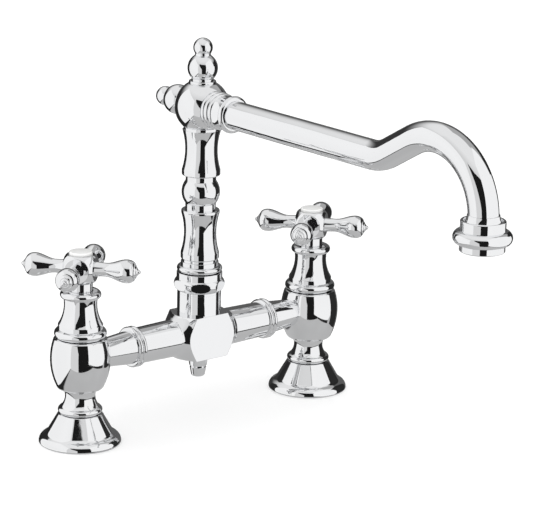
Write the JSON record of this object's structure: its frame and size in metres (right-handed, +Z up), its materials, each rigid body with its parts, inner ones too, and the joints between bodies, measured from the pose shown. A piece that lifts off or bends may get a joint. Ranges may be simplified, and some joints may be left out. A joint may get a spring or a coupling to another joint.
{
  "type": "bridge sink mixer tap",
  "caption": "Deck mounted bridge mixer tap: flared pillars with crosshead handles, a square mixing block, and a turned column with a swivelling arched spout.",
  "frame": {"origin": "on the deck, in the middle between the axes of the two inlets, which is also the axis of the column", "axes": "+X along the bridge from the hot pillar to the cold pillar, the spout points to -Y, +Z up"},
  "size_m": [0.2387, 0.3031, 0.2372],
  "materials": {
    "chrome": "bright polished chrome plate on brass",
    "rubber": "black sealing rubber",
    "brass": "machined brass",
    "ceramic": "lapped ceramic",
    "porcelain": "glazed white, bare",
    "bearing_plastic": "low friction plastic",
    "stainless": "stainless steel"
  },
  "bodies": {
    "base": {"hot_foot": "chrome", "hot_foot_seal": "rubber", "hot_valve_body": "chrome", "hot_seat_seal": "rubber", "hot_headwork": "brass", "hot_fixed_disc": "ceramic", "hot_shroud": "chrome", "hot_bridge_arm": "chrome", "hot_bridge_oring": "rubber", "cold_foot": "chrome", "cold_foot_seal": "rubber", "cold_valve_body": "chrome", "cold_seat_seal": "rubber", "cold_headwork": "brass", "cold_fixed_disc": "ceramic", "cold_shroud": "chrome", "cold_bridge_arm": "chrome", "cold_bridge_oring": "rubber", "mixing_block": "chrome", "bottom_plug": "chrome", "swivel_nut": "chrome", "swivel_bush": "bearing_plastic"},
    "spout": {"swivel_clip": "stainless", "low_oring": "rubber", "high_oring": "rubber", "low_stem": "chrome", "knop": "chrome", "high_stem": "chrome", "elbow": "chrome", "top_finial": "chrome", "rear_finial": "chrome", "spout_collar": "chrome", "spout_tube": "chrome", "nozzle": "chrome", "aerator_washer": "rubber", "aerator_housing": "chrome", "aerator_insert": "bearing_plastic", "aerator_screen": "stainless"},
    "hot_handle": {"hot_moving_disc": "ceramic", "hot_spindle": "brass", "hot_handle_hub": "chrome", "hot_arm_1": "chrome", "hot_arm_2": "chrome", "hot_arm_3": "chrome", "hot_arm_4": "chrome", "hot_index_disc": "porcelain", "hot_handle_screw": "stainless"},
    "cold_handle": {"cold_moving_disc": "ceramic", "cold_spindle": "brass", "cold_handle_hub": "chrome", "cold_arm_1": "chrome", "cold_arm_2": "chrome", "cold_arm_3": "chrome", "cold_arm_4": "chrome", "cold_index_disc": "porcelain", "cold_handle_screw": "stainless"}
  },
  "joints": [
    {"name": "spout_swivel", "type": "hinge", "parent": "base", "child": "spout", "pos_m": [0, 0, 0.084], "axis": [0, 0, 1], "continuous": true},
    {"name": "hot_handle_turn", "type": "hinge", "parent": "base", "child": "hot_handle", "pos_m": [-0.09, 0, 0.078], "axis": [0, 0, 1], "range_deg": [0, 90]},
    {"name": "cold_handle_turn", "type": "hinge", "parent": "base", "child": "cold_handle", "pos_m": [0.09, 0, 0.078], "axis": [0, 0, 1], "range_deg": [-90, 0]}
  ]
}
